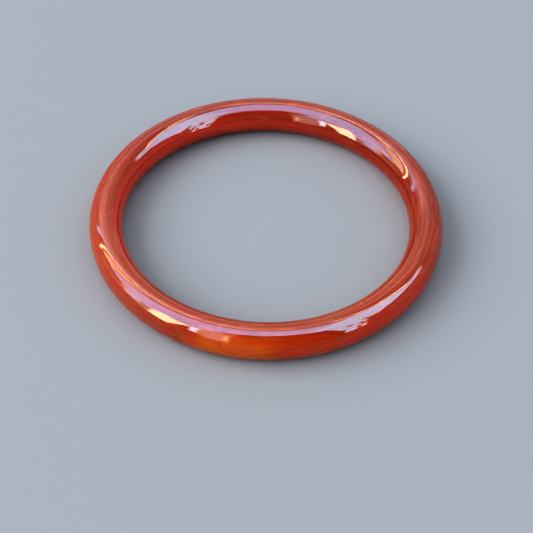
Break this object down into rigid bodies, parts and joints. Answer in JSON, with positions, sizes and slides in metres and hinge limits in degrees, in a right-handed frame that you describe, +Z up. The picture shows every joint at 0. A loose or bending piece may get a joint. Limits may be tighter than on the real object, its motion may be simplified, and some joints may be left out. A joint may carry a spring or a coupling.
{
  "type": "bangle bracelet",
  "caption": "Closed round bangle bracelet: a polished ring of translucent red agate with an oval bar section, slipped over the hand onto the wrist.",
  "frame": {"origin": "centre of the ring, in the plane that the bangle rests on", "axes": "+Z up along the ring's own axis, which is the way the hand goes through; X and Y lie in the ring's plane and are interchangeable"},
  "size_m": [0.0714, 0.0714, 0.0075],
  "materials": {
    "red_agate": "polished to a high gloss, translucent, with fine growth bands along the ring"
  },
  "bodies": {
    "root": {"bangle_ring": "red_agate"}
  },
  "joints": []
}
